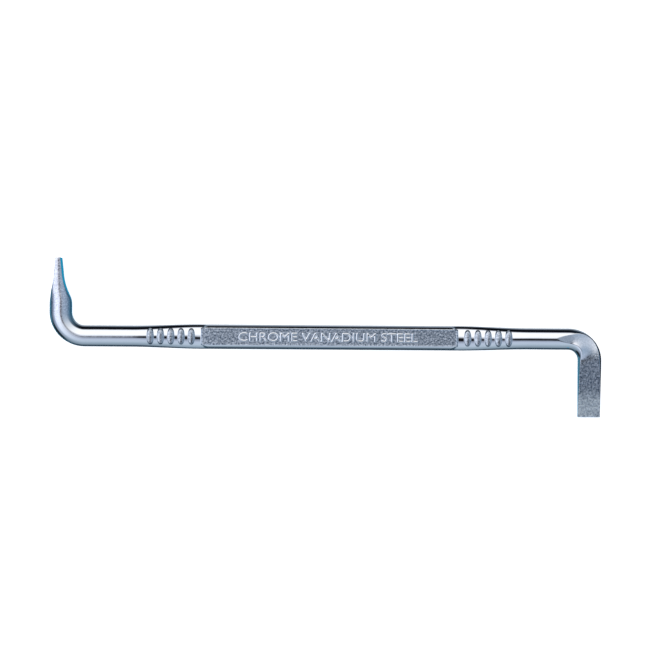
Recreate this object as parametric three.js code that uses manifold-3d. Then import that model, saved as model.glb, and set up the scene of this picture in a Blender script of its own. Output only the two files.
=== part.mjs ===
// A double-ended offset screwdriver: one round steel bar, forged into a flattened ribbed grip in its
// middle and bent to a square hook at each end. One hook's blade lies along the shank's direction,
// the other's lies across it. The tool is a single forging, so the meshes below are its named
// stretches, meeting face to face at planes square to the bar.
//
// Frame, in millimetres: the tool lies flat, +Z up, +X along the shank towards the lengthwise blade,
// +Y towards the crosswise blade's tip. The origin is under the middle of the shank, on the surface
// that the tool rests on.
import * as THREE from 'three';
import { mergeVertices } from 'three/addons/utils/BufferGeometryUtils.js';
import Module from 'manifold-3d';

const wasm = await Module();
wasm.setup();

// Driving dimensions
const OVERALL_LENGTH = 135; // over the two bends
const TIP_WIDTH = 5.5;
const ARM_REACH = 19.1; // from the shank's axis to either tip
const SHANK_RADIUS = 2.6;
const AXIS_HEIGHT = TIP_WIDTH / 2; // the crosswise tip is as wide as the tool is thick

// Grip: a flat panel on both faces, with five ribs beyond each of its ends
const GRIP_HALF_WIDTH = 3.0;
const PANEL_HALF_THICKNESS = 2.1;
const PANEL_START = -30.4;
const PANEL_END = 32.4;
const WAIST_HALF_THICKNESS = 1.9; // the oval bar between the last rib and the panel
const GRIP_TAPER_LENGTH = 17; // from the panel's end out to the round shank
const RIB_COUNT = 5;
const RIB_PITCH = 2.5;
const FIRST_RIB_GAP = 2.3; // from the panel's end to the centre of the first rib
const RIB_HEIGHT = 0.25;
const RIB_DOME = 0.12; // how far the rib's rounded form would stand above its flat crest
const RIB_BASE_HALF_LENGTH = 0.7; // along the bar
const RIB_BASE_HALF_WIDTH = 1.95; // across the bar

// Crosswise end: its blade is thin along X and as wide as TIP_WIDTH along Z
const CROSSWISE_BEND_RADIUS = 5.9; // of the bar's centre line
const CROSSWISE_ARM_RADIUS = 2.75;
const CROSSWISE_TIP_HALF_THICKNESS = 0.6;
const CROSSWISE_TAPER = 0.093; // growth of the half thickness, per millimetre from the tip
const CROSSWISE_PARALLEL_LENGTH = 4.3; // from the tip to where the hollow run-out starts
const CROSSWISE_RUNOUT_RADIUS = 12;
const CROSSWISE_TIP_OFFSET = 0.45; // as the arm thins, its middle plane moves out by up to this
const CROSSWISE_LEAN = 0.22; // how much further out the arm's end stands, past a short lean
const CROSSWISE_LEAN_GAP = 2; // from the bend's end to where the lean starts
const CROSSWISE_LEAN_LENGTH = 4;

// Lengthwise end: its blade is thin along Z and as wide as TIP_WIDTH along X
const LENGTHWISE_BEND_RADIUS = 5.2;
const LENGTHWISE_ARM_RADIUS = 2.88;
const LENGTHWISE_TIP_HALF_THICKNESS = 0.5;
const LENGTHWISE_FLAT_LENGTH = 24.8; // from the tip, round the bend, to the flat's pointed start
const LENGTHWISE_TIP_INSET = 0.1; // the tip's centre lies this far inside the arm's axis
const BEND_WEDGE = 0.43; // share by which the bend is thicker on its inner side

// Facets
const POINTS_PER_STRETCH = 10; // a ring has four stretches
const SMALLEST_STRETCH = 0.45; // radians, half of the shortest stretch
const RINGS_PER_BEND = 12;
const RINGS_PER_BLADE = 14;
const RINGS_PER_TAPER = 8;
const RIB_MERIDIANS = 24;
const RIB_PARALLELS = 12;
const SAME_POINT = 1e-5; // points closer than this are one

const smooth = (t) => THREE.MathUtils.smoothstep(t, 0, 1);
const mix = THREE.MathUtils.lerp;
const steps = (count) => Array.from({ length: count + 1 }, (_, i) => i / count);

// The outline of a bar's section, as [across, up] pairs: an oval that may be cut flat on two
// opposite sides. A cut in the "across" direction thins the crosswise blade, and one in the "up"
// direction thins the grip and the lengthwise blade. Points lie on the edges of the cuts. wedge
// tilts the "up" cuts, so that the section is thinner on the bend's outer side.
function sectionOutline({ across, up, cutAcross = Infinity, cutUp = Infinity, wedge = 0 }) {
  const edgeAngle = cutUp === Infinity
    ? Math.acos(Math.min(cutAcross / across, 1))
    : Math.asin(Math.min(cutUp / up, 1));
  const sideSpan = THREE.MathUtils.clamp(edgeAngle, SMALLEST_STRETCH, Math.PI / 2 - SMALLEST_STRETCH);
  const outline = [];
  for (let stretch = 0; stretch < 4; stretch++) {
    const middle = (stretch * Math.PI) / 2;
    const halfSpan = stretch % 2 === 0 ? sideSpan : Math.PI / 2 - sideSpan;
    for (let i = 0; i < POINTS_PER_STRETCH; i++) {
      const angle = middle - halfSpan + (2 * halfSpan * i) / POINTS_PER_STRETCH;
      const y = THREE.MathUtils.clamp(across * Math.cos(angle), -cutAcross, cutAcross);
      const limit = cutUp * (1 - (wedge * y) / across);
      outline.push([y, THREE.MathUtils.clamp(up * Math.sin(angle), -limit, limit)]);
    }
  }
  return outline;
}

// A closed solid skinned over rings of points, with a fan over each end
function skin(rings) {
  const perRing = rings[0].length;
  const points = rings.flat();
  const triangles = [];
  for (let ring = 0; ring < rings.length - 1; ring++) {
    for (let i = 0; i < perRing; i++) {
      const here = ring * perRing + i;
      const next = ring * perRing + ((i + 1) % perRing);
      triangles.push(here, next, here + perRing);
      triangles.push(next, next + perRing, here + perRing);
    }
  }
  const lastRing = (rings.length - 1) * perRing;
  for (let i = 0; i < perRing; i++) {
    const next = (i + 1) % perRing;
    triangles.push(points.length, next, i);
    triangles.push(points.length + 1, lastRing + i, lastRing + next);
  }
  const middleOf = (ring) => ring
    .reduce((sum, point) => sum.add(point), new THREE.Vector3())
    .divideScalar(perRing);
  points.push(middleOf(rings[0]), middleOf(rings.at(-1)));
  const geometry = new THREE.BufferGeometry().setFromPoints(points);
  geometry.setIndex(triangles);
  return geometry;
}

// Both hooks share one layout, drawn for the end at +X with its arm pointing to -Y. The end at -X
// is the same layout after half a turn about Z.
const hookPoint = (end, x, y, z) => new THREE.Vector3(end * x, end * y, z);

// Rings along a hook. place says, for a distance in from the tip, how the section lies there.
function hookRings(end, stations, place) {
  return stations.map((distance) => {
    const { centre, outward, section } = place(distance);
    return sectionOutline(section).map(([across, up]) => hookPoint(
      end,
      centre.x + across * outward.x,
      centre.y + across * outward.y,
      up,
    ));
  });
}

// Where a hook's centre line runs: down from the bend along the arm, by distance in from the tip
function hookPath(bendRadius, armRadius) {
  const armX = OVERALL_LENGTH / 2 - armRadius;
  const armLength = ARM_REACH - bendRadius;
  const bendLength = (bendRadius * Math.PI) / 2;
  const bendCentre = new THREE.Vector2(armX - bendRadius, -bendRadius);
  const at = (distance) => {
    const turned = THREE.MathUtils.clamp((distance - armLength) / bendLength, 0, 1) * (Math.PI / 2);
    const outward = new THREE.Vector2(Math.cos(turned), Math.sin(turned));
    const centre = bendCentre.clone().addScaledVector(outward, bendRadius);
    centre.y -= Math.max(armLength - distance, 0);
    centre.x -= Math.max(distance - armLength - bendLength, 0);
    return { centre, outward };
  };
  return { at, armLength, bendLength, shankEndX: bendCentre.x };
}

const crosswisePath = hookPath(CROSSWISE_BEND_RADIUS, CROSSWISE_ARM_RADIUS);
const lengthwisePath = hookPath(LENGTHWISE_BEND_RADIUS, LENGTHWISE_ARM_RADIUS);

// Crosswise hook: round bar that swells a little through the bend, then two hollow-ground faces
function crosswisePlace(distance) {
  const { centre, outward } = crosswisePath.at(distance);
  const beyondArm = (distance - crosswisePath.armLength) / crosswisePath.bendLength;
  const radius = mix(CROSSWISE_ARM_RADIUS, SHANK_RADIUS, smooth(beyondArm));
  const runout = Math.max(distance - CROSSWISE_PARALLEL_LENGTH, 0);
  const cutAcross = CROSSWISE_TIP_HALF_THICKNESS + CROSSWISE_TAPER * distance
    + runout ** 2 / (2 * CROSSWISE_RUNOUT_RADIUS);
  const leaned = (crosswisePath.armLength - CROSSWISE_LEAN_GAP - distance) / CROSSWISE_LEAN_LENGTH;
  centre.x += CROSSWISE_TIP_OFFSET * Math.max(1 - cutAcross / radius, 0);
  centre.x += CROSSWISE_LEAN * smooth(leaned);
  return { centre, outward, section: { across: radius, up: radius, cutAcross } };
}

// Lengthwise hook: the flats start as a point on the shank and taper straight to the tip
function lengthwisePlace(distance) {
  const { centre, outward } = lengthwisePath.at(distance);
  const alongArm = THREE.MathUtils.clamp(distance / lengthwisePath.armLength, 0, 1);
  const beyondArm = (distance - lengthwisePath.armLength) / lengthwisePath.bendLength;
  const bulge = mix(TIP_WIDTH / 2, LENGTHWISE_ARM_RADIUS, smooth(alongArm));
  const across = mix(bulge, SHANK_RADIUS, smooth(beyondArm));
  const up = mix(LENGTHWISE_ARM_RADIUS, SHANK_RADIUS, smooth(beyondArm));
  const cutUp = mix(LENGTHWISE_TIP_HALF_THICKNESS, SHANK_RADIUS, distance / LENGTHWISE_FLAT_LENGTH);
  const wedge = BEND_WEDGE * Math.sin(Math.PI * THREE.MathUtils.clamp(beyondArm, 0, 1)) ** 2;
  centre.x -= LENGTHWISE_TIP_INSET * (1 - alongArm);
  return { centre, outward, section: { across, up, cutUp, wedge } };
}

// Distances from the tip, listed from the shank outwards to the tip
const between = (far, near, count) => steps(count).map((share) => mix(far, near, share));

function crosswiseBlade() {
  return skin(hookRings(-1, between(crosswisePath.armLength, 0, RINGS_PER_BLADE), crosswisePlace));
}

function crosswiseBend() {
  const start = crosswisePath.armLength + crosswisePath.bendLength;
  return skin(hookRings(-1, between(start, crosswisePath.armLength, RINGS_PER_BEND), crosswisePlace));
}

function lengthwiseBlade() {
  return skin(hookRings(1, between(lengthwisePath.armLength, 0, RINGS_PER_BLADE), lengthwisePlace));
}

// The bend starts where its flats start, a little before the bar begins to turn
function lengthwiseBend() {
  const stations = between(LENGTHWISE_FLAT_LENGTH, lengthwisePath.armLength, RINGS_PER_BEND);
  return skin(hookRings(1, stations, lengthwisePlace));
}

// Rings along the straight bar between two places on X
function barRings(fromX, toX, count, sectionAt) {
  return steps(count).map((share) => {
    const x = mix(fromX, toX, share);
    return sectionOutline(sectionAt(x)).map(([across, up]) => new THREE.Vector3(x, across, up));
  });
}

const shank = (fromX, toX) => skin(
  barRings(fromX, toX, 1, () => ({ across: SHANK_RADIUS, up: SHANK_RADIUS })),
);

// The oval bar under the ribs, by distance out from the panel's end
function waistSection(distance) {
  const share = smooth(distance / GRIP_TAPER_LENGTH);
  return {
    across: mix(GRIP_HALF_WIDTH, SHANK_RADIUS, share),
    up: mix(WAIST_HALF_THICKNESS, SHANK_RADIUS, share),
  };
}

// One rib stands out of both faces: an ellipsoid about the bar's axis, cut to a flat crest. Its
// width and length are set so that it meets the bar on the rib's oval base line.
function rib(x, waist) {
  const crest = waist.up + RIB_HEIGHT;
  const dome = crest + RIB_DOME;
  const length = RIB_BASE_HALF_LENGTH / Math.sqrt(1 - (waist.up / dome) ** 2);
  const barAtBase = waist.up * Math.sqrt(1 - (RIB_BASE_HALF_WIDTH / waist.across) ** 2);
  const width = RIB_BASE_HALF_WIDTH / Math.sqrt(1 - (barAtBase / dome) ** 2);
  const geometry = new THREE.SphereGeometry(1, RIB_MERIDIANS, RIB_PARALLELS).scale(length, width, dome);
  const position = geometry.getAttribute('position');
  for (let i = 0; i < position.count; i++) {
    position.setZ(i, THREE.MathUtils.clamp(position.getZ(i), -crest, crest));
  }
  return geometry.translate(x, 0, 0);
}

function solidOf(geometry) {
  const bare = geometry.clone();
  bare.deleteAttribute('normal');
  bare.deleteAttribute('uv');
  const merged = mergeVertices(bare, SAME_POINT);
  return new wasm.Manifold(new wasm.Mesh({
    numProp: 3,
    vertProperties: new Float32Array(merged.getAttribute('position').array),
    triVerts: new Uint32Array(merged.index.array),
  }));
}

function geometryOf(solid) {
  const mesh = solid.getMesh();
  const geometry = new THREE.BufferGeometry();
  geometry.setAttribute('position', new THREE.BufferAttribute(mesh.vertProperties, mesh.numProp));
  geometry.setIndex(new THREE.BufferAttribute(mesh.triVerts, 1));
  return geometry;
}

// The ribbed stretch between the panel's end and the round shank. direction is -1 or +1 along X.
function gripRibs(panelEndX, direction) {
  const outerX = panelEndX + direction * GRIP_TAPER_LENGTH;
  const rings = barRings(
    panelEndX,
    outerX,
    RINGS_PER_TAPER,
    (x) => waistSection(Math.abs(x - panelEndX)),
  );
  let solid = solidOf(skin(direction > 0 ? rings : rings.reverse()));
  for (let i = 0; i < RIB_COUNT; i++) {
    const distance = FIRST_RIB_GAP + i * RIB_PITCH;
    solid = solid.add(solidOf(rib(panelEndX + direction * distance, waistSection(distance))));
  }
  return geometryOf(solid);
}

// The panel: a round bar of the grip's width, cut flat on its top and bottom faces
function gripPanel() {
  const section = {
    across: GRIP_HALF_WIDTH,
    up: GRIP_HALF_WIDTH,
    cutUp: PANEL_HALF_THICKNESS,
  };
  return skin(barRings(PANEL_START, PANEL_END, 1, () => section));
}

const brightSteel = new THREE.MeshStandardMaterial({ color: 0xc3cbd4, roughness: 0.24, metalness: 1 });
const grainedSteel = new THREE.MeshStandardMaterial({ color: 0x93a1af, roughness: 0.5, metalness: 1 });

const screwdriver = new THREE.Group();
screwdriver.position.z = AXIS_HEIGHT;

function addPiece(name, geometry, material) {
  const mesh = new THREE.Mesh(geometry, material.clone());
  mesh.name = name;
  screwdriver.add(mesh);
}

const lengthwiseFlatStartX = lengthwisePath.at(LENGTHWISE_FLAT_LENGTH).centre.x;
addPiece('crosswise_blade', crosswiseBlade(), brightSteel);
addPiece('crosswise_bend', crosswiseBend(), brightSteel);
addPiece(
  'crosswise_shank',
  shank(-crosswisePath.shankEndX, PANEL_START - GRIP_TAPER_LENGTH),
  brightSteel,
);
addPiece('crosswise_grip_ribs', gripRibs(PANEL_START, -1), brightSteel);
addPiece('grip_panel', gripPanel(), grainedSteel);
addPiece('lengthwise_grip_ribs', gripRibs(PANEL_END, 1), brightSteel);
addPiece('lengthwise_shank', shank(PANEL_END + GRIP_TAPER_LENGTH, lengthwiseFlatStartX), brightSteel);
addPiece('lengthwise_bend', lengthwiseBend(), brightSteel);
addPiece('lengthwise_blade', lengthwiseBlade(), grainedSteel);

export default screwdriver;
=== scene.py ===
"""The looks of the double-ended offset screwdriver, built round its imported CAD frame.

The tool is one forged and plated steel bar. Its surface is one formula along the bar's centre line:
a section that goes from the crosswise blade, round a bend, along the shank and its ribbed grip,
round the second bend, to the lengthwise blade. Each visible piece is a stretch of that surface, so
the pieces meet without a step. Lengths in the formulas are millimetres; meshes are in metres.
"""

import math

import bmesh
import bpy
import numpy as np
from mathutils import Matrix, Vector, noise


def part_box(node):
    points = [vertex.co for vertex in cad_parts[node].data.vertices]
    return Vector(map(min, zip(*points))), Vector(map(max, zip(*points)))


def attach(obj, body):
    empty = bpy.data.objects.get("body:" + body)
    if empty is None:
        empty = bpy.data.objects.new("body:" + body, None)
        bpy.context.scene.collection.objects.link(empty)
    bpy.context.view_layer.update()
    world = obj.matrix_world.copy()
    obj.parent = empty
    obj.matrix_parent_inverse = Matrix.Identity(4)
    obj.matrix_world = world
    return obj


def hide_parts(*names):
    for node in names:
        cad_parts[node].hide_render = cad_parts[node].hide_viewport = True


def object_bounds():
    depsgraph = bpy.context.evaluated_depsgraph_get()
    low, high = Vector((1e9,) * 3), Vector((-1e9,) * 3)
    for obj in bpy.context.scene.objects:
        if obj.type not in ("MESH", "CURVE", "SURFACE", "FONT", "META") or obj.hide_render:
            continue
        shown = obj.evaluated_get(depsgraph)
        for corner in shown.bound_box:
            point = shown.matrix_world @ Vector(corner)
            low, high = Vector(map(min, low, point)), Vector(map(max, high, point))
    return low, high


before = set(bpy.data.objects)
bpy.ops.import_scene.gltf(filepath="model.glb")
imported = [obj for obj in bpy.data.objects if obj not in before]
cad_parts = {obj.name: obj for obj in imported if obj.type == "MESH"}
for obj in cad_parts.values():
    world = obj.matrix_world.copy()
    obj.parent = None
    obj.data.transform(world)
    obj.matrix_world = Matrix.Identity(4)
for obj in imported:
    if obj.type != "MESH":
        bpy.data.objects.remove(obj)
cad_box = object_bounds()

MM = 0.001

# ---------------------------------------------------------------- sizes taken from the CAD frame


def node_box(node):
    """The lowest and highest corners of a CAD node, in millimetres."""
    low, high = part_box(node)
    return low / MM, high / MM


CAD_LOW, CAD_HIGH = (Vector(corner) / MM for corner in cad_box)
ARM_REACH = (CAD_HIGH.y - CAD_LOW.y) / 2
CROSSWISE_BLADE_LOW, CROSSWISE_BLADE_HIGH = node_box("crosswise_blade")
LENGTHWISE_BLADE_HIGH = node_box("lengthwise_blade")[1]
PANEL_LOW, PANEL_HIGH = node_box("grip_panel")
SHANK_LOW, SHANK_HIGH = node_box("crosswise_shank")
RIBS_LOW, RIBS_HIGH = node_box("crosswise_grip_ribs")
CROSSWISE_BEND_LOW = node_box("crosswise_bend")[0]
LENGTHWISE_BEND_LOW, LENGTHWISE_BEND_HIGH = node_box("lengthwise_bend")

AXIS_HEIGHT = (CROSSWISE_BLADE_LOW.z + CROSSWISE_BLADE_HIGH.z) / 2
SHANK_RADIUS = (SHANK_HIGH.z - SHANK_LOW.z) / 2
TIP_WIDTH = CROSSWISE_BLADE_HIGH.z - CROSSWISE_BLADE_LOW.z
GRIP_HALF_WIDTH = (PANEL_HIGH.y - PANEL_LOW.y) / 2
PANEL_HALF_THICKNESS = (PANEL_HIGH.z - PANEL_LOW.z) / 2
PANEL_MIDDLE = (PANEL_LOW.x + PANEL_HIGH.x) / 2
PANEL_HALF_LENGTH = (PANEL_HIGH.x - PANEL_LOW.x) / 2
GRIP_TAPER_LENGTH = RIBS_HIGH.x - RIBS_LOW.x

CROSSWISE_ARM_RADIUS = TIP_WIDTH / 2
CROSSWISE_BEND_RADIUS = CROSSWISE_BLADE_LOW.y
LENGTHWISE_ARM_RADIUS = 2.88
LENGTHWISE_BEND_RADIUS = -LENGTHWISE_BLADE_HIGH.y

# ---------------------------------------------------------------- sizes of the surface's details

CROSSWISE_TIP_HALF_THICKNESS = 0.6
CROSSWISE_TAPER = 0.093  # growth of the half thickness, per millimetre from the tip
CROSSWISE_PARALLEL_LENGTH = 4.3
CROSSWISE_RUNOUT_RADIUS = 12
CROSSWISE_TIP_OFFSET = 0.45  # as the arm thins, its middle plane moves out by up to this
CROSSWISE_LEAN = 0.22  # how much further out the arm's end stands, past a short lean
CROSSWISE_LEAN_GAP = 2
CROSSWISE_LEAN_LENGTH = 4
LENGTHWISE_TIP_HALF_THICKNESS = 0.5
LENGTHWISE_TIP_INSET = 0.1
BEND_WEDGE = 0.43  # share by which the bend is thicker on its inner side
TIP_EDGE_RADIUS = 0.1
TIP_EDGE_RINGS = 5
BLADE_FILLET = 0.16
FACET_FILLET = 0.04  # where the flats start on the shank
RUNOUT_FILLET = 0.9
RUNOUT_FILLET_START = 0.4  # share of the full thickness at which the fillet starts to grow

# Finishes, and the lengthwise tip's wear and painted sheen, as distances in millimetres
FACE_SHARE_DEPTH = 0.08  # height above a ground face over which its finish fades
PEBBLED_LEAD = 2.6  # how far before the lengthwise arm its pebbled finish starts
PEBBLED_FADE = 3.4
PEBBLED_SLANT = 0.4  # how much later it starts, per millimetre across the bar
# The lengthwise tip grows brighter from here on: partly wear, partly painted sheen
WEAR_AND_SHEEN_GAP = 6  # from the start of the lengthwise arm
WEAR_AND_SHEEN_FADE = 5
FACET_SATIN = 0.4  # share of satin where the flats aren't pebbled
GROUND_FADE = 0.2
SATIN_OVERRUN = 4  # how far the crosswise arm's satin finish runs into its bend
SATIN_FADE = 6

WAIST_HALF_THICKNESS = 1.9
RIB_COUNT = 5
RIB_PITCH = 2.5
FIRST_RIB_GAP = 2.3
RIB_HEIGHT = 0.25
RIB_HALF_LENGTH = 0.88
RIB_HALF_WIDTH = 2.0
RIB_CREST_RADIUS = 16  # of the crest's slight crown across the bar
RIB_DOME_RADIUS = 2.0  # of the crest along the bar
RIB_FLANK = 0.4  # share of the rib's outline taken by its sloping flank
RIB_SQUARENESS = 2.4  # 2 would be an ellipse
RIB_GRAIN = 0.65  # the ribs' share of the panel's pebbled finish
RIB_GRAIN_FADE = 0.3

PANEL_CORNER_RADIUS = 0.5
PANEL_BACK_FILLET = 0.1  # the flat's edge is sharper at the back than at the front
PANEL_FRONT_FILLET = 0.24
PANEL_END_WALL = 0.2
PANEL_SIDE_START = 2.0  # past this distance aside, the panel's ends fade more slowly
PANEL_SIDE_BLEND = 0.6
PANEL_SIDE_FADE = 1.2
PANEL_GRAIN_OVERLAP = 0.1
PANEL_GRAIN_FADE = 0.1
PANEL_EDGE_FADE = 0.2
PANEL_RIM = 0.3
RECESS_DEPTH = 0.1
RECESS_HALF_WIDTH = 1.92
RECESS_START = PANEL_LOW.x + 4
RECESS_RUN_IN = 5  # the field sinks slowly at its start, and is walled at its sides and end
RECESS_WALL = 0.14

# ---------------------------------------------------------------- the bar's centre line

CROSSWISE_ARM_LENGTH = ARM_REACH - CROSSWISE_BEND_RADIUS
LENGTHWISE_ARM_LENGTH = ARM_REACH - LENGTHWISE_BEND_RADIUS
CROSSWISE_BEND_LENGTH = CROSSWISE_BEND_RADIUS * math.pi / 2
LENGTHWISE_BEND_LENGTH = LENGTHWISE_BEND_RADIUS * math.pi / 2
CROSSWISE_ARM_X = CROSSWISE_BEND_LOW.x + CROSSWISE_ARM_RADIUS
LENGTHWISE_ARM_X = LENGTHWISE_BEND_HIGH.x - LENGTHWISE_ARM_RADIUS
STRAIGHT_START_X = CROSSWISE_ARM_X + CROSSWISE_BEND_RADIUS
STRAIGHT_END_X = LENGTHWISE_ARM_X - LENGTHWISE_BEND_RADIUS

# Distances along the centre line, from the crosswise tip
STRAIGHT_START = CROSSWISE_ARM_LENGTH + CROSSWISE_BEND_LENGTH
STRAIGHT_END = STRAIGHT_START + STRAIGHT_END_X - STRAIGHT_START_X
LENGTHWISE_ARM_START = STRAIGHT_END + LENGTHWISE_BEND_LENGTH
BAR_LENGTH = LENGTHWISE_ARM_START + LENGTHWISE_ARM_LENGTH
FLAT_ON_SHANK = STRAIGHT_END_X - LENGTHWISE_BEND_LOW.x
LENGTHWISE_FLAT_LENGTH = LENGTHWISE_ARM_LENGTH + LENGTHWISE_BEND_LENGTH + FLAT_ON_SHANK


def along_at(x):
    """The distance along the bar of a place on its straight stretch."""
    return STRAIGHT_START + x - STRAIGHT_START_X


def smooth(share):
    share = np.clip(share, 0, 1)
    return share * share * (3 - 2 * share)


def mix(a, b, share):
    return a + (b - a) * share


def soft_min(a, b, width):
    """The smaller of a and b, with a fillet of about that width where they cross."""
    share = np.clip(0.5 + 0.5 * (b - a) / width, 0, 1)
    return mix(b, a, share) - width * share * (1 - share)


def centre_line(along):
    """x, y and heading of the centre line. The heading is 0 towards +X and -90 degrees towards -Y."""
    first_turn = np.clip((along - CROSSWISE_ARM_LENGTH) / CROSSWISE_BEND_RADIUS, 0, math.pi / 2)
    second_turn = np.clip((along - STRAIGHT_END) / LENGTHWISE_BEND_RADIUS, 0, math.pi / 2)
    straight = np.clip(along - STRAIGHT_START, 0, STRAIGHT_END - STRAIGHT_START)
    x = (
        STRAIGHT_START_X
        - CROSSWISE_BEND_RADIUS * np.cos(first_turn)
        + straight
        + LENGTHWISE_BEND_RADIUS * np.sin(second_turn)
    )
    y = (
        CROSSWISE_BEND_RADIUS * (1 - np.sin(first_turn))
        + np.maximum(CROSSWISE_ARM_LENGTH - along, 0)
        - LENGTHWISE_BEND_RADIUS * (1 - np.cos(second_turn))
        - np.maximum(along - LENGTHWISE_ARM_START, 0)
    )
    heading = -math.pi / 2 + first_turn - second_turn
    return x, y, heading


# ---------------------------------------------------------------- the bar's section


def tip_inset(from_tip):
    """How far the rounded edge of a blade's tip draws the section in."""
    left = np.clip(TIP_EDGE_RADIUS - from_tip, 0, TIP_EDGE_RADIUS)
    return TIP_EDGE_RADIUS - np.sqrt(TIP_EDGE_RADIUS**2 - left**2)


def waist_share(x):
    """0 at the grip panel, rising to 1 where the bar is round again."""
    outside = np.maximum(np.abs(x - PANEL_MIDDLE) - PANEL_HALF_LENGTH, 0)
    return smooth(outside / GRIP_TAPER_LENGTH)


def add_panel(x, across, height, top):
    """The height with the flat panel added, and the weight of the panel's grain.

    across is the place across the bar, height the plain section's height there, and top the sine of
    the section's angle.
    """
    aside = np.abs(across)

    # A wider round bar cut flat, whose ends have rounded corners and fade at the sides
    fillet = np.where(across > 0, PANEL_BACK_FILLET, PANEL_FRONT_FILLET)
    flat = soft_min(GRIP_HALF_WIDTH * top, PANEL_HALF_THICKNESS, fillet)
    flat_half_width = math.sqrt(GRIP_HALF_WIDTH**2 - PANEL_HALF_THICKNESS**2)
    into_corner = np.clip(aside - (flat_half_width - PANEL_CORNER_RADIUS), 0, PANEL_CORNER_RADIUS)
    corner = PANEL_CORNER_RADIUS - np.sqrt(PANEL_CORNER_RADIUS**2 - into_corner**2)
    wall = mix(PANEL_END_WALL, PANEL_SIDE_FADE, smooth((aside - PANEL_SIDE_START) / PANEL_SIDE_BLEND))
    panel = smooth((PANEL_HALF_LENGTH - corner - np.abs(x - PANEL_MIDDLE)) / wall)
    height = mix(height, flat, panel)
    on_flat = panel * smooth((flat_half_width - aside) / PANEL_EDGE_FADE)
    grained_width = flat_half_width + PANEL_GRAIN_OVERLAP - fillet
    grain = panel * smooth((grained_width - aside) / PANEL_GRAIN_FADE)

    # The field that carries the marking lies a little lower, inside a thin rim
    field = smooth((RECESS_HALF_WIDTH - aside) / RECESS_WALL) * smooth((x - RECESS_START) / RECESS_RUN_IN)
    field *= smooth((PANEL_HIGH.x - PANEL_RIM - x) / RECESS_WALL)
    return height - RECESS_DEPTH * field * on_flat, grain


def add_ribs(x, across, height, up, grain):
    """The height with the ribs added, and the grain's weight with theirs. up is the plain section's
    height in the middle."""
    from_middle = np.abs(x - PANEL_MIDDLE)
    for i in range(RIB_COUNT):
        distance = PANEL_HALF_LENGTH + FIRST_RIB_GAP + i * RIB_PITCH
        # 0 in the middle of the rib and 1 on its outline
        q = (np.abs(from_middle - distance) / RIB_HALF_LENGTH) ** RIB_SQUARENESS
        q = q + (np.abs(across) / RIB_HALF_WIDTH) ** RIB_SQUARENESS
        plateau = smooth((1 - q) / RIB_FLANK)
        crown = across**2 / (2 * RIB_CREST_RADIUS) + (from_middle - distance) ** 2 / (2 * RIB_DOME_RADIUS)
        crest = up + RIB_HEIGHT - crown
        height = height + plateau * np.maximum(crest - height, 0)
        grain = np.maximum(grain, RIB_GRAIN * smooth((1 - q) / RIB_GRAIN_FADE))
    return height, grain


def crosswise_hook(along):
    """How much the crosswise hook swells the bar, the half thickness to which its blade is cut, and
    how far its middle stands off the centre line."""
    into_bend = (along - CROSSWISE_ARM_LENGTH) / CROSSWISE_BEND_LENGTH
    swell = (CROSSWISE_ARM_RADIUS - SHANK_RADIUS) * (1 - smooth(into_bend))
    runout = np.maximum(along - CROSSWISE_PARALLEL_LENGTH, 0)
    straight_cut = CROSSWISE_TIP_HALF_THICKNESS + CROSSWISE_TAPER * along
    cut = straight_cut + runout**2 / (2 * CROSSWISE_RUNOUT_RADIUS)
    offset = -CROSSWISE_TIP_OFFSET * np.maximum(1 - cut / (SHANK_RADIUS + swell), 0)
    leaned = (CROSSWISE_ARM_LENGTH - CROSSWISE_LEAN_GAP - along) / CROSSWISE_LEAN_LENGTH
    return swell, cut, offset - CROSSWISE_LEAN * smooth(leaned)


def lengthwise_hook(from_end):
    """The place in the lengthwise bend, how much the hook swells the bar across and up, the half
    thickness to which its blade is cut, and how far its middle stands off the centre line."""
    along_arm = np.clip(from_end / LENGTHWISE_ARM_LENGTH, 0, 1)
    into_bend = (from_end - LENGTHWISE_ARM_LENGTH) / LENGTHWISE_BEND_LENGTH
    bulge = mix(TIP_WIDTH / 2, LENGTHWISE_ARM_RADIUS, smooth(along_arm))
    swell = (bulge - SHANK_RADIUS) * (1 - smooth(into_bend))
    rise = (LENGTHWISE_ARM_RADIUS - SHANK_RADIUS) * (1 - smooth(into_bend))
    cut = mix(LENGTHWISE_TIP_HALF_THICKNESS, SHANK_RADIUS, from_end / LENGTHWISE_FLAT_LENGTH)
    return into_bend, swell, rise, cut, -LENGTHWISE_TIP_INSET * (1 - along_arm)


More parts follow.
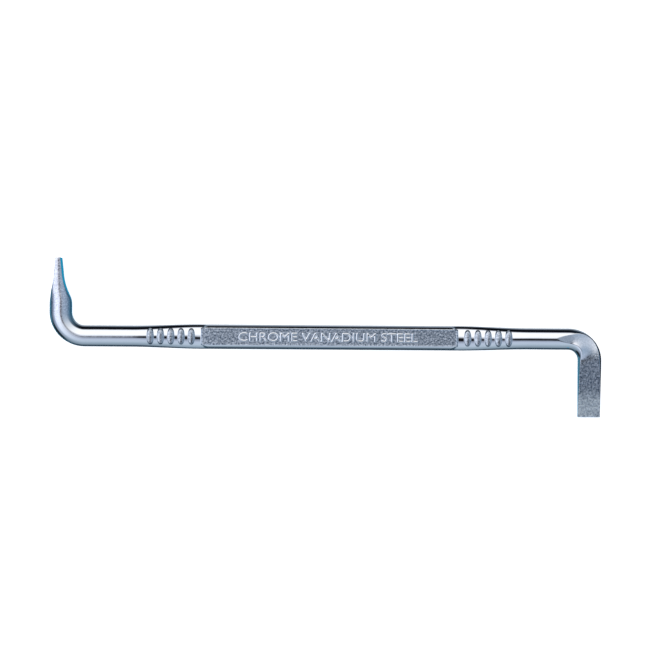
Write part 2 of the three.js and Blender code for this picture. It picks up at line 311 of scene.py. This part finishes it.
def surface(along, angle):
    """Points of the bar's surface, with the weights of its pebbled grain and its satin finish, on a
    grid of distances along the bar by angles round it. Angle 0 points to the left of the way along,
    and 90 degrees up."""
    along = np.asarray(along, float)[:, None]
    angle = np.asarray(angle, float)[None, :]
    x, y, heading = centre_line(along)
    from_end = BAR_LENGTH - along
    inset = tip_inset(along) + tip_inset(from_end)
    crosswise_swell, cut_across, crosswise_offset = crosswise_hook(along)
    into_bend, swell, rise, cut_up, lengthwise_offset = lengthwise_hook(from_end)

    # The plain section
    waist = waist_share(x)
    half_across = mix(GRIP_HALF_WIDTH, SHANK_RADIUS, waist) + crosswise_swell + swell - inset
    half_up = mix(WAIST_HALF_THICKNESS, SHANK_RADIUS, waist) + crosswise_swell + rise - inset
    uncut = half_across * np.cos(angle)
    top = np.abs(np.sin(angle))
    height = half_up * top

    # The crosswise blade's faces, hollow at their run-out
    thickness_share = cut_across / (SHANK_RADIUS + crosswise_swell)
    runout = smooth((thickness_share - RUNOUT_FILLET_START) / (1 - RUNOUT_FILLET_START))
    fillet = mix(BLADE_FILLET, RUNOUT_FILLET, runout)
    across = np.sign(uncut) * soft_min(np.abs(uncut), cut_across - inset, fillet)
    ground = smooth((np.abs(uncut) - cut_across) / GROUND_FADE)
    satin = (1 - ground) * smooth((CROSSWISE_ARM_LENGTH + SATIN_OVERRUN - along) / SATIN_FADE)

    # The lengthwise blade's faces, thinner on the bend's outer side
    wedge = BEND_WEDGE * np.sin(math.pi * np.clip(into_bend, 0, 1)) ** 2
    limit = (cut_up - inset) * (1 - wedge * across / half_across)
    on_face = smooth((height - limit) / FACE_SHARE_DEPTH)
    height = soft_min(height, limit, mix(BLADE_FILLET, FACET_FILLET, smooth(into_bend)))
    past_lead = along - (LENGTHWISE_ARM_START - PEBBLED_LEAD) + PEBBLED_SLANT * across
    pebbled = smooth(past_lead / PEBBLED_FADE)
    # Brighter towards the lengthwise tip: partly wear, partly painted sheen
    wear_and_sheen = smooth((along - LENGTHWISE_ARM_START - WEAR_AND_SHEEN_GAP) / WEAR_AND_SHEEN_FADE)
    satin = np.maximum(on_face * (FACET_SATIN * (1 - pebbled) + wear_and_sheen), satin)

    height, grip_grain = add_panel(x, across, height, top)
    height, grip_grain = add_ribs(x, across, height, half_up, grip_grain)
    grain = np.maximum(on_face * pebbled, grip_grain)

    across = across + crosswise_offset + lengthwise_offset
    points = np.stack(
        [
            x - across * np.sin(heading),
            y + across * np.cos(heading),
            AXIS_HEIGHT + height * np.sign(np.sin(angle)),
        ],
        axis=-1,
    )
    return points, grain, satin


# ---------------------------------------------------------------- meshes


def linked(name, data):
    """A new object in the scene."""
    thing = bpy.data.objects.new(name, data)
    bpy.context.scene.collection.objects.link(thing)
    return thing


GRAIN_HEIGHT = 0.016
GRAIN_SIZE = 0.42
GRAIN_THRESHOLD = 0.02  # places with less grain than this stay smooth
FINE_GRAIN_HEIGHT = 0.5  # share of the coarse grain's
FINE_GRAIN_DENSITY = 2.1  # times the coarse grain's
RING_POINTS = 240
LEAST_STEP = 1e-9  # these two keep a length of nothing from being divided by
LEAST_AREA = 1e-12


def grid_normals(points):
    """Unit normals of a grid that is open along its first way and closed round its second."""
    around = np.roll(points, -1, axis=1) - np.roll(points, 1, axis=1)
    steps = np.diff(points, axis=0)
    lengths = np.linalg.norm(steps, axis=2, keepdims=True) + LEAST_STEP
    lengthways = np.empty_like(points)
    before, after = lengths[:-1], lengths[1:]
    lengthways[1:-1] = (before**2 * steps[1:] + after**2 * steps[:-1]) / (before * after * (before + after))
    lengthways[0] = steps[0]
    lengthways[-1] = steps[-1]
    normals = np.cross(around, lengthways)
    return normals / (np.linalg.norm(normals, axis=2, keepdims=True) + LEAST_AREA)


def pebbles(points, grain, normals):
    """Moves the grained places in and out along their normals by a fine pebbled pattern."""
    depth = np.zeros(grain.shape)
    for row, column in zip(*np.nonzero(grain > GRAIN_THRESHOLD)):
        place = Vector(points[row, column]) / GRAIN_SIZE
        fine = noise.noise(place * FINE_GRAIN_DENSITY)
        depth[row, column] = noise.noise(place) + FINE_GRAIN_HEIGHT * fine
    return points + normals * (GRAIN_HEIGHT * grain * depth)[:, :, None]


def ladder(ring, count):
    """Faces that close a flat ring of points, running straight across it."""
    half = count // 2
    faces = [(ring, ring + 1, ring + count - 1)]
    for i in range(1, half - 1):
        faces.append((ring + i, ring + i + 1, ring + count - i - 1, ring + count - i))
    faces.append((ring + half - 1, ring + half, ring + half + 1))
    return faces


def rings_of_points(along):
    """Points, grain, satin and normals of the bar's surface at these distances along it."""
    # One more ring past each end, where there is one, gives the end rings their true normals
    before = max(2 * along[0] - along[1], 0)
    after = min(2 * along[-1] - along[-2], BAR_LENGTH)
    rings_before = 1 if before < along[0] else 0
    rings_after = 1 if after > along[-1] else 0
    stations = np.concatenate([[before] * rings_before, along, [after] * rings_after])
    angle = np.arange(RING_POINTS) * 2 * math.pi / RING_POINTS
    points, grain, satin = surface(stations, angle)
    points = pebbles(points, grain, grid_normals(points))
    normals = grid_normals(points)
    own = slice(rings_before, len(stations) - rings_after)
    return [grid[own] for grid in (points, grain, satin, normals)]


def forward(along):
    """The direction of the bar's centre line at this distance along it."""
    heading = centre_line(np.array([along]))[2][0]
    return np.array([math.cos(heading), math.sin(heading), 0])


def bar_piece(name, along):
    """A closed mesh of the bar's stretch that runs over these distances along it."""
    points, grain, satin, normals = rings_of_points(along)
    rings, count = points.shape[:2]
    index = np.arange(rings * count).reshape(rings, count)
    right = np.roll(index, -1, axis=1)
    sides = np.stack([index[:-1], right[:-1], right[1:], index[1:]], axis=-1).reshape(-1, 4)
    start_cap = [face[::-1] for face in ladder(0, count)]
    end_cap = ladder((rings - 1) * count, count)
    mesh = bpy.data.meshes.new(name)
    mesh.from_pydata((points.reshape(-1, 3) * MM).tolist(), [], sides.tolist() + start_cap + end_cap)
    mesh.update()

    # The sides have the surface's own normals, and the caps are flat
    side_normals = normals.reshape(-1, 3)[sides.reshape(-1)]
    start_normals = [-forward(along[0])] * sum(map(len, start_cap))
    end_normals = [forward(along[-1])] * sum(map(len, end_cap))
    mesh.polygons.foreach_set("use_smooth", [True] * len(mesh.polygons))
    mesh.normals_split_custom_set(np.concatenate([side_normals, start_normals, end_normals]).tolist())

    for finish, weight in (("grain", grain), ("satin", satin)):
        weights = mesh.attributes.new(finish, "FLOAT", "POINT")
        weights.data.foreach_set("value", weight.reshape(-1).astype(np.float32))
    return linked(name, mesh)


def spaced(start, end, step):
    """Evenly spaced distances from start to end, about step apart, both ends included."""
    return np.linspace(start, end, max(int(round((end - start) / step)), 1) + 1)


def rounded_tip():
    """Distances from a tip over its rounded edge."""
    turn = np.linspace(0, math.pi / 2, TIP_EDGE_RINGS)
    return TIP_EDGE_RADIUS * (1 - np.cos(turn))


# ---------------------------------------------------------------- materials


def node(tree, kind, **values):
    made = tree.nodes.new(kind)
    for key, value in values.items():
        setattr(made, key, value)
    return made


def noise_node(tree, coordinates, scale, detail):
    made = node(tree, "ShaderNodeTexNoise")
    made.inputs["Scale"].default_value = scale
    made.inputs["Detail"].default_value = detail
    tree.links.new(coordinates, made.inputs["Vector"])
    return made.outputs["Fac"]


def ranged(tree, value, low, high, from_low=0.0, from_high=1.0):
    """value, in the range from_low to from_high, moved to the range low to high."""
    made = node(tree, "ShaderNodeMapRange")
    made.inputs["From Min"].default_value = from_low
    made.inputs["From Max"].default_value = from_high
    made.inputs["To Min"].default_value = low
    made.inputs["To Max"].default_value = high
    tree.links.new(value, made.inputs["Value"])
    return made.outputs["Result"]


def blended(tree, factor, a, b, data_type="FLOAT"):
    """a where factor is 0 and b where it is 1. Each may be a socket or a plain value."""
    made = node(tree, "ShaderNodeMix", data_type=data_type)
    sockets = {"FLOAT": (0, 2, 3, 0), "RGBA": (0, 6, 7, 2)}[data_type]
    for socket, value in zip(sockets[:3], (factor, a, b)):
        if isinstance(value, bpy.types.NodeSocket):
            tree.links.new(value, made.inputs[socket])
        else:
            made.inputs[socket].default_value = value
    return made.outputs[sockets[3]]


def bumped(tree, height, distance):
    """A normal for a surface whose height, from 0 to 1, is that many metres of relief."""
    made = node(tree, "ShaderNodeBump")
    made.inputs["Strength"].default_value = 1.0
    made.inputs["Distance"].default_value = distance
    tree.links.new(height, made.inputs["Height"])
    return made.outputs["Normal"]


BRIGHT = (0.80, 0.83, 0.87, 1)
BRIGHT_SHADE = (0.75, 0.77, 0.82, 1)
SATIN = (0.84, 0.85, 0.92, 1)
SATIN_SHADE = (0.62, 0.63, 0.71, 1)
GRAINED = (0.57, 0.62, 0.70, 1)
GRAINED_SHADE = (0.15, 0.19, 0.25, 1)
# These colours make the pebbled lengthwise tip brighter: partly wear, partly painted sheen
WEAR_AND_SHEEN_GRAIN = (0.92, 0.98, 1.0, 1)
WEAR_AND_SHEEN_GRAIN_SHADE = (0.55, 0.62, 0.68, 1)

# Patterns, as scale per metre and detail
RIPPLE = (600, 3.0)
SMUDGE = (160, 4.0)
SPECKS = (2300, 2.0)
SPECK_CONTRAST = (0.36, 0.64)  # the part of the specks' range that covers the full range of colour
BRIGHT_ROUGHNESS = (0.02, 0.10)
SATIN_ROUGHNESS = (0.10, 0.24)
PEBBLED_ROUGHNESS = (0.22, 0.38)
RELIEF = 0.00006  # of the pebbled finish's finest specks, in metres
RIPPLE_SHARE = 0.18  # of that relief, on the bright plating
SATIN_SHARE = 0.45


def plated_steel(name):
    """Bright nickel-chrome plating with a faint ripple. The mesh's weights say where it is satin,
    where it is pebbled, and where it is both: pebbled and brighter, partly from wear and partly as painted
    sheen."""
    material = bpy.data.materials.new(name)
    material.use_nodes = True
    tree = material.node_tree
    shader = tree.nodes["Principled BSDF"]
    shader.inputs["Metallic"].default_value = 1.0
    place = node(tree, "ShaderNodeTexCoord").outputs["Object"]
    pebbled = node(tree, "ShaderNodeAttribute", attribute_name="grain").outputs["Fac"]
    satin = node(tree, "ShaderNodeAttribute", attribute_name="satin").outputs["Fac"]

    ripple = noise_node(tree, place, *RIPPLE)
    smudge = noise_node(tree, place, *SMUDGE)
    specks = noise_node(tree, place, *SPECKS)
    contrast = ranged(tree, specks, 0, 1, *SPECK_CONTRAST)

    bright_colour = blended(tree, smudge, BRIGHT, BRIGHT_SHADE, "RGBA")
    satin_colour = blended(tree, contrast, SATIN_SHADE, SATIN, "RGBA")
    pebbled_colour = blended(tree, contrast, GRAINED_SHADE, GRAINED, "RGBA")
    wear_and_sheen_colour = blended(tree, contrast, WEAR_AND_SHEEN_GRAIN_SHADE, WEAR_AND_SHEEN_GRAIN, "RGBA")
    pebbled_colour = blended(tree, satin, pebbled_colour, wear_and_sheen_colour, "RGBA")
    colour = blended(tree, satin, bright_colour, satin_colour, "RGBA")
    tree.links.new(blended(tree, pebbled, colour, pebbled_colour, "RGBA"), shader.inputs["Base Color"])

    bright_roughness = ranged(tree, smudge, *BRIGHT_ROUGHNESS)
    satin_roughness = ranged(tree, specks, *SATIN_ROUGHNESS)
    pebbled_roughness = ranged(tree, specks, *PEBBLED_ROUGHNESS)
    roughness = blended(tree, satin, bright_roughness, satin_roughness)
    tree.links.new(blended(tree, pebbled, roughness, pebbled_roughness), shader.inputs["Roughness"])

    ripple_height = ranged(tree, ripple, 0, RIPPLE_SHARE)
    satin_height = ranged(tree, specks, 0, SATIN_SHARE)
    height = blended(tree, satin, ripple_height, satin_height)
    height = blended(tree, pebbled, height, specks)
    tree.links.new(bumped(tree, height, RELIEF), shader.inputs["Normal"])
    return material


# ---------------------------------------------------------------- studio

CAMERA_DISTANCE = 0.600
VIEW_WIDTH = 0.159
SENSOR_WIDTH = 36.0
VIEW_CENTRE_X = -0.00011
VIEW_CENTRE_Y = 0.00303
ROLL = math.radians(0.4)
CLIP_START = 0.01


def add_camera():
    data = bpy.data.cameras.new("camera")
    data.sensor_width = SENSOR_WIDTH
    data.lens = SENSOR_WIDTH * CAMERA_DISTANCE / VIEW_WIDTH
    data.clip_start = CLIP_START
    camera = linked("camera", data)
    camera.location = (VIEW_CENTRE_X, VIEW_CENTRE_Y, AXIS_HEIGHT * MM + CAMERA_DISTANCE)
    camera.rotation_euler = (0, 0, ROLL)
    bpy.context.scene.camera = camera


FLOOR_HALF_SIZE = 3
FLOOR_HEIGHT = -0.00002
FLOOR_GREY = 0.9
FLOOR_GLOW = 0.75
BACKDROP_RADIUS = 2.8
BACKDROP_SEGMENTS = 64
BACKDROP_COLOUR = (0.93, 0.94, 0.95)

# The cards that lie on the floor, a little above it. Their other sizes are in millimetres.
CARD_HEIGHT = -0.00001
CARD_MARGIN = 1  # past the shank and past the tips
TEAL = (0.012, 0.30, 0.50)
TEAL_STRIP = 1.4  # width beside an arm
TEAL_UNDER = 4  # width under the arm
TEAL_BEND_GAP = 1.5
# The dark sheet's colour is painted shadow: the tool's shadow on the table beside the lengthwise arm, as
# reflections see it
PAINTED_SHADOW = (0.01, 0.015, 0.025)
SHADOW_SHEET = 20
SHADOW_UNDER = 1


def flat_sheet(name, low, high, height):
    mesh = bpy.data.meshes.new(name)
    outline = [(low[0], low[1]), (high[0], low[1]), (high[0], high[1]), (low[0], high[1])]
    mesh.from_pydata([(x, y, height) for x, y in outline], [], [(0, 1, 2, 3)])
    sheet = linked(name, mesh)
    return sheet


def glow(name, colour, strength):
    material = bpy.data.materials.new(name)
    material.use_nodes = True
    tree = material.node_tree
    tree.nodes.remove(tree.nodes["Principled BSDF"])
    emission = node(tree, "ShaderNodeEmission")
    emission.inputs["Color"].default_value = (*colour, 1)
    emission.inputs["Strength"].default_value = strength
    tree.links.new(emission.outputs[0], tree.nodes["Material Output"].inputs["Surface"])
    return material


def add_floor():
    corner = (FLOOR_HALF_SIZE, FLOOR_HALF_SIZE)
    floor = flat_sheet("floor", (-FLOOR_HALF_SIZE, -FLOOR_HALF_SIZE), corner, FLOOR_HEIGHT)
    material = bpy.data.materials.new("floor")
    material.use_nodes = True
    shader = material.node_tree.nodes["Principled BSDF"]
    shader.inputs["Base Color"].default_value = (FLOOR_GREY, FLOOR_GREY, FLOOR_GREY, 1)
    shader.inputs["Roughness"].default_value = 0.9
    shader.inputs["Specular IOR Level"].default_value = 0.0
    shader.inputs["Emission Color"].default_value = (1, 1, 1, 1)
    shader.inputs["Emission Strength"].default_value = FLOOR_GLOW
    floor.data.materials.append(material)
    floor.visible_glossy = False


def reflected_card(name, low, high, colour):
    """A glowing sheet on the table, between two corners in millimetres, that only reflections see. It shows
    its own fixed colour and is not lit by the lamps.
    """
    card = flat_sheet(name, Vector(low) * MM, Vector(high) * MM, CARD_HEIGHT)
    card.data.materials.append(glow(name, colour, 1.0))
    card.visible_camera = False
    card.visible_diffuse = False
    card.visible_shadow = False


def add_table_cards():
    """Teal strips that glow along the inner sides of both arms, and a dark sheet outside the right-hand
    bend that is painted shadow.
    """
    tips = ARM_REACH + CARD_MARGIN
    inner = CROSSWISE_ARM_X + CROSSWISE_ARM_RADIUS
    low = (inner - TEAL_UNDER, SHANK_RADIUS + CARD_MARGIN)
    reflected_card("crosswise_card", low, (inner + TEAL_STRIP, tips), TEAL)

    inner = LENGTHWISE_ARM_X - LENGTHWISE_ARM_RADIUS
    high = (inner + TEAL_UNDER, -LENGTHWISE_BEND_RADIUS - TEAL_BEND_GAP)
    reflected_card("lengthwise_card", (inner - TEAL_STRIP, -tips), high, TEAL)

    # A painted shadow of the tool on the table, beside the lengthwise arm, seen only in reflections
    outer = LENGTHWISE_ARM_X + LENGTHWISE_ARM_RADIUS
    high = (outer + SHADOW_SHEET, SHADOW_SHEET)
    reflected_card("outer_shadow_card", (outer - SHADOW_UNDER, -tips), high, PAINTED_SHADOW)


def add_backdrop():
    """A pale dome far round the table that only the camera sees."""
    mesh = bpy.data.meshes.new("backdrop")
    shape = bmesh.new()
    bmesh.ops.create_uvsphere(
        shape, u_segments=BACKDROP_SEGMENTS, v_segments=BACKDROP_SEGMENTS // 2, radius=BACKDROP_RADIUS
    )
    shape.to_mesh(mesh)
    shape.free()
    mesh.materials.append(glow("backdrop", BACKDROP_COLOUR, 1.0))
    backdrop = linked("backdrop", mesh)
    backdrop.visible_glossy = False
    backdrop.visible_diffuse = False
    backdrop.visible_shadow = False


# The studio round the tool, as colours by angle from straight overhead, on each of its four sides.
# White soft boxes stand behind it and to its left, and a paler, bluer one in front.
STUDIO_SIDES = {
    "back": [
        (0, (0.50, 0.52, 0.58)),
        (14, (1.3, 1.3, 1.3)),
        (62, (1.3, 1.3, 1.3)),
        (70, (0.75, 0.77, 0.80)),
        (76, (0.06, 0.06, 0.08)),
        (82, (0.001, 0.002, 0.004)),
        (111, (0.001, 0.002, 0.004)),
        (126, (0.20, 0.23, 0.28)),
        (145, (0.55, 0.61, 0.67)),
    ],
    "front": [
        (0, (0.50, 0.52, 0.58)),
        (12, (0.26, 0.28, 0.36)),
        (25, (0.37, 0.42, 0.52)),
        (38, (0.58, 0.66, 0.80)),
        (60, (0.56, 0.66, 0.77)),
        (85, (0.38, 0.48, 0.57)),
        (108, (0.27, 0.35, 0.42)),
        (119, (0.05, 0.08, 0.11)),
        (150, (0.04, 0.07, 0.10)),
    ],
    "left": [
        (0, (0.50, 0.52, 0.58)),
        (10, (1.00, 1.06, 1.18)),
        (30, (1.17, 1.25, 1.38)),
        (60, (1.00, 1.09, 1.25)),
        (68, (0.50, 0.57, 0.72)),
        (90, (0.20, 0.25, 0.33)),
        (100, (0.04, 0.08, 0.13)),
        (120, (0.08, 0.24, 0.33)),
    ],
    "right": [
        (0, (0.50, 0.52, 0.58)),
        (12, (0.34, 0.40, 0.48)),
        (35, (0.40, 0.50, 0.62)),
        (65, (0.32, 0.42, 0.54)),
        (90, (0.16, 0.27, 0.38)),
        (110, (0.07, 0.18, 0.28)),
        (130, (0.02, 0.10, 0.16)),
    ],
}
LEAST_LEVEL = 0.000001  # keeps the division for straight up and down from being by nothing

# Dark places in the studio: the direction, the angles where each starts and stops fading, and how
# much light is left in it
STUDIO_GAPS = [
    ((0.06, -0.165, 0.98), 6, 13, 0.03),  # beside the camera
    ((0.10, 0.0, 1.0), 2, 10, 0.55),  # overhead, to the right
    ((-0.78, -0.55, -0.40), 12, 24, 0.10),  # low, between the left and front boxes
]


def arithmetic(tree, operation, *values):
    """The result of a sum. Each value may be a socket or a plain number."""
    made = node(tree, "ShaderNodeMath", operation=operation)
    for socket, value in zip(made.inputs, values):
        if isinstance(value, bpy.types.NodeSocket):
            tree.links.new(value, socket)
        else:
            socket.default_value = value
    return made.outputs[0]


def scaled(tree, colour, scale):
    made = node(tree, "ShaderNodeVectorMath", operation="SCALE")
    tree.links.new(colour, made.inputs["Vector"])
    tree.links.new(scale, made.inputs["Scale"])
    return made.outputs["Vector"]


def added(tree, a, b):
    made = node(tree, "ShaderNodeVectorMath", operation="ADD")
    tree.links.new(a, made.inputs[0])
    tree.links.new(b, made.inputs[1])
    return made.outputs["Vector"]


def side_colour(tree, angle, stops):
    """A colour by angle from overhead, with even changes between its stops, in degrees."""
    ramp = node(tree, "ShaderNodeValToRGB")
    while len(ramp.color_ramp.elements) < len(stops):
        ramp.color_ramp.elements.new(0.5)
    for element, (degrees, colour) in zip(ramp.color_ramp.elements, stops):
        element.position = degrees / 180
        element.color = (*colour, 1)
    tree.links.new(arithmetic(tree, "DIVIDE", angle, math.pi), ramp.inputs["Fac"])
    return ramp.outputs["Color"]


def lit_sides(tree, direction):
    """The light of the four sides together. Each fades away round the compass, as a squared cosine."""
    parts = node(tree, "ShaderNodeSeparateXYZ")
    tree.links.new(direction, parts.inputs[0])
    x, y, z = parts.outputs
    angle = arithmetic(tree, "ARCCOSINE", z)
    x_squared = arithmetic(tree, "MULTIPLY", x, x)
    y_squared = arithmetic(tree, "MULTIPLY", y, y)
    level = arithmetic(tree, "MAXIMUM", arithmetic(tree, "ADD", x_squared, y_squared), LEAST_LEVEL)
    ways = {"back": (y, 1), "front": (y, -1), "left": (x, -1), "right": (x, 1)}
    lights = []
    for side, (part, sign) in ways.items():
        towards = arithmetic(tree, "MAXIMUM", arithmetic(tree, "MULTIPLY", part, sign), 0)
        weight = arithmetic(tree, "DIVIDE", arithmetic(tree, "MULTIPLY", towards, towards), level)
        lights.append(scaled(tree, side_colour(tree, angle, STUDIO_SIDES[side]), weight))
    back, front, left, right = lights
    return added(tree, added(tree, added(tree, back, front), left), right)


def dimmed(tree, total, direction, gap_direction, inner, outer, light):
    """The light with one dark place in it."""
    nearness = node(tree, "ShaderNodeVectorMath", operation="DOT_PRODUCT")
    nearness.inputs[1].default_value = Vector(gap_direction).normalized()
    tree.links.new(direction, nearness.inputs[0])
    away = arithmetic(tree, "ARCCOSINE", arithmetic(tree, "MINIMUM", nearness.outputs["Value"], 1.0))
    gap = node(tree, "ShaderNodeMapRange", interpolation_type="SMOOTHSTEP")
    tree.links.new(away, gap.inputs["Value"])
    gap.inputs["From Min"].default_value = math.radians(inner)
    gap.inputs["From Max"].default_value = math.radians(outer)
    gap.inputs["To Min"].default_value = light
    return scaled(tree, total, gap.outputs["Result"])


def add_studio():
    """A studio of soft light, the same from everywhere in it, as the world's background."""
    scene = bpy.context.scene
    scene.view_settings.view_transform = "Standard"
    scene.world = bpy.data.worlds.new("studio")
    scene.world.use_nodes = True
    tree = scene.world.node_tree
    direction = node(tree, "ShaderNodeTexCoord").outputs["Generated"]
    total = lit_sides(tree, direction)
    for gap in STUDIO_GAPS:
        total = dimmed(tree, total, direction, *gap)
    tree.links.new(total, tree.nodes["Background"].inputs["Color"])


# ---------------------------------------------------------------- the tool's pieces


CROSSWISE_STEP = 0.12  # between rings of points, along the bar
LENGTHWISE_STEP = 0.1
SHANK_STEP = 0.4
RIBS_STEP = 0.06
PANEL_STEP = 0.17
FACET_LEAD = 1  # the end of the lengthwise shank, which has rings as close as the bend's


def joined(first, second):
    """Two runs of distances, the second of which starts where the first ends."""
    return np.concatenate([first[:-1], second])


def tool_stretches():
    """The distances along the bar at which each piece has its rings of points, by CAD node."""
    grip_start = along_at(PANEL_LOW.x)
    grip_end = along_at(PANEL_HIGH.x)
    ribs_start = grip_start - GRIP_TAPER_LENGTH
    ribs_end = grip_end + GRIP_TAPER_LENGTH
    flat_start = along_at(LENGTHWISE_BEND_LOW.x)
    lead_start = flat_start - FACET_LEAD
    arm_end = CROSSWISE_ARM_LENGTH
    arm_start = LENGTHWISE_ARM_START
    tip = rounded_tip()
    last = BAR_LENGTH - tip[-1]
    return {
        "crosswise_blade": joined(tip, spaced(tip[-1], arm_end, CROSSWISE_STEP)),
        "crosswise_bend": spaced(arm_end, STRAIGHT_START, CROSSWISE_STEP),
        "crosswise_shank": spaced(STRAIGHT_START, ribs_start, SHANK_STEP),
        "crosswise_grip_ribs": spaced(ribs_start, grip_start, RIBS_STEP),
        "grip_panel": spaced(grip_start, grip_end, PANEL_STEP),
        "lengthwise_grip_ribs": spaced(grip_end, ribs_end, RIBS_STEP),
        "lengthwise_shank": joined(
            spaced(ribs_end, lead_start, SHANK_STEP), spaced(lead_start, flat_start, LENGTHWISE_STEP)
        ),
        "lengthwise_bend": spaced(flat_start, arm_start, LENGTHWISE_STEP),
        "lengthwise_blade": joined(spaced(arm_start, last, LENGTHWISE_STEP), BAR_LENGTH - tip[::-1]),
    }


def add_tool():
    steel = plated_steel("plated_steel")
    for name, along in tool_stretches().items():
        piece = bar_piece(name + "_forging", along)
        piece.data.materials.append(steel)
        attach(piece, "root")
        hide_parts(name)


MARKING = "CHROME VANADIUM STEEL"
MARKING_START = PANEL_LOW.x + 9.1
MARKING_LENGTH = 44
MARKING_HEIGHT = 2.5  # of its capitals
MARKING_CORE = 0.1  # thickness of the lettering before it is swelled
MARKING_SWELL = 0.18  # added all round it
MARKING_RISE = 0.15  # of the lettering's middle above the field
MARKING_VOXEL = 0.05
MARKING_SMOOTHING = 20
MARKING_SOFTNESS = 0.5


def add_remesh(thing):
    """Makes the thing one closed surface of small even faces."""
    remesh = thing.modifiers.new("remesh", "REMESH")
    remesh.mode = "VOXEL"
    remesh.voxel_size = MARKING_VOXEL


def evaluated_mesh(thing):
    return bpy.data.meshes.new_from_object(thing.evaluated_get(bpy.context.evaluated_depsgraph_get()))


def thin_lettering():
    """The marking's letters as a thin mesh, stretched to their place, in millimetres."""
    curve = bpy.data.curves.new("marking_text", "FONT")
    curve.body = MARKING
    curve.extrude = MARKING_CORE
    text = linked("marking_text", curve)
    mesh = evaluated_mesh(text)
    bpy.data.objects.remove(text)

    points = np.array([tuple(vertex.co) for vertex in mesh.vertices])
    low, high = points.min(axis=0), points.max(axis=0)
    width = MARKING_LENGTH - 2 * MARKING_SWELL
    height = MARKING_HEIGHT - 2 * MARKING_SWELL
    middle = AXIS_HEIGHT + PANEL_HALF_THICKNESS - RECESS_DEPTH + MARKING_RISE
    corner = np.array([MARKING_START + MARKING_SWELL, -height / 2, middle - MARKING_CORE / 2])
    points = corner + (points - low) / (high - low) * np.array([width, height, MARKING_CORE])
    mesh.vertices.foreach_set("co", points.reshape(-1))
    return mesh


def swelled(mesh):
    """The letters swelled to full strokes: one closed mesh with rounded edges."""
    rough = linked("rough_marking", mesh)
    add_remesh(rough)
    swell = rough.modifiers.new("swell", "DISPLACE")
    swell.strength = MARKING_SWELL
    swell.mid_level = 0
    add_remesh(rough)
    soften = rough.modifiers.new("soften", "SMOOTH")
    soften.factor = MARKING_SOFTNESS
    soften.iterations = MARKING_SMOOTHING
    final = evaluated_mesh(rough)
    bpy.data.objects.remove(rough)
    return final


def add_marking():
    """The raised marking on the panel's top face."""
    mesh = swelled(thin_lettering())
    mesh.transform(Matrix.Scale(MM, 4))
    mesh.polygons.foreach_set("use_smooth", [True] * len(mesh.polygons))
    mesh.materials.clear()
    mesh.materials.append(bpy.data.materials["plated_steel"])
    piece = linked("raised_marking", mesh)
    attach(piece, "root")


add_camera()
add_studio()
add_floor()
add_backdrop()
add_table_cards()
add_tool()
add_marking()
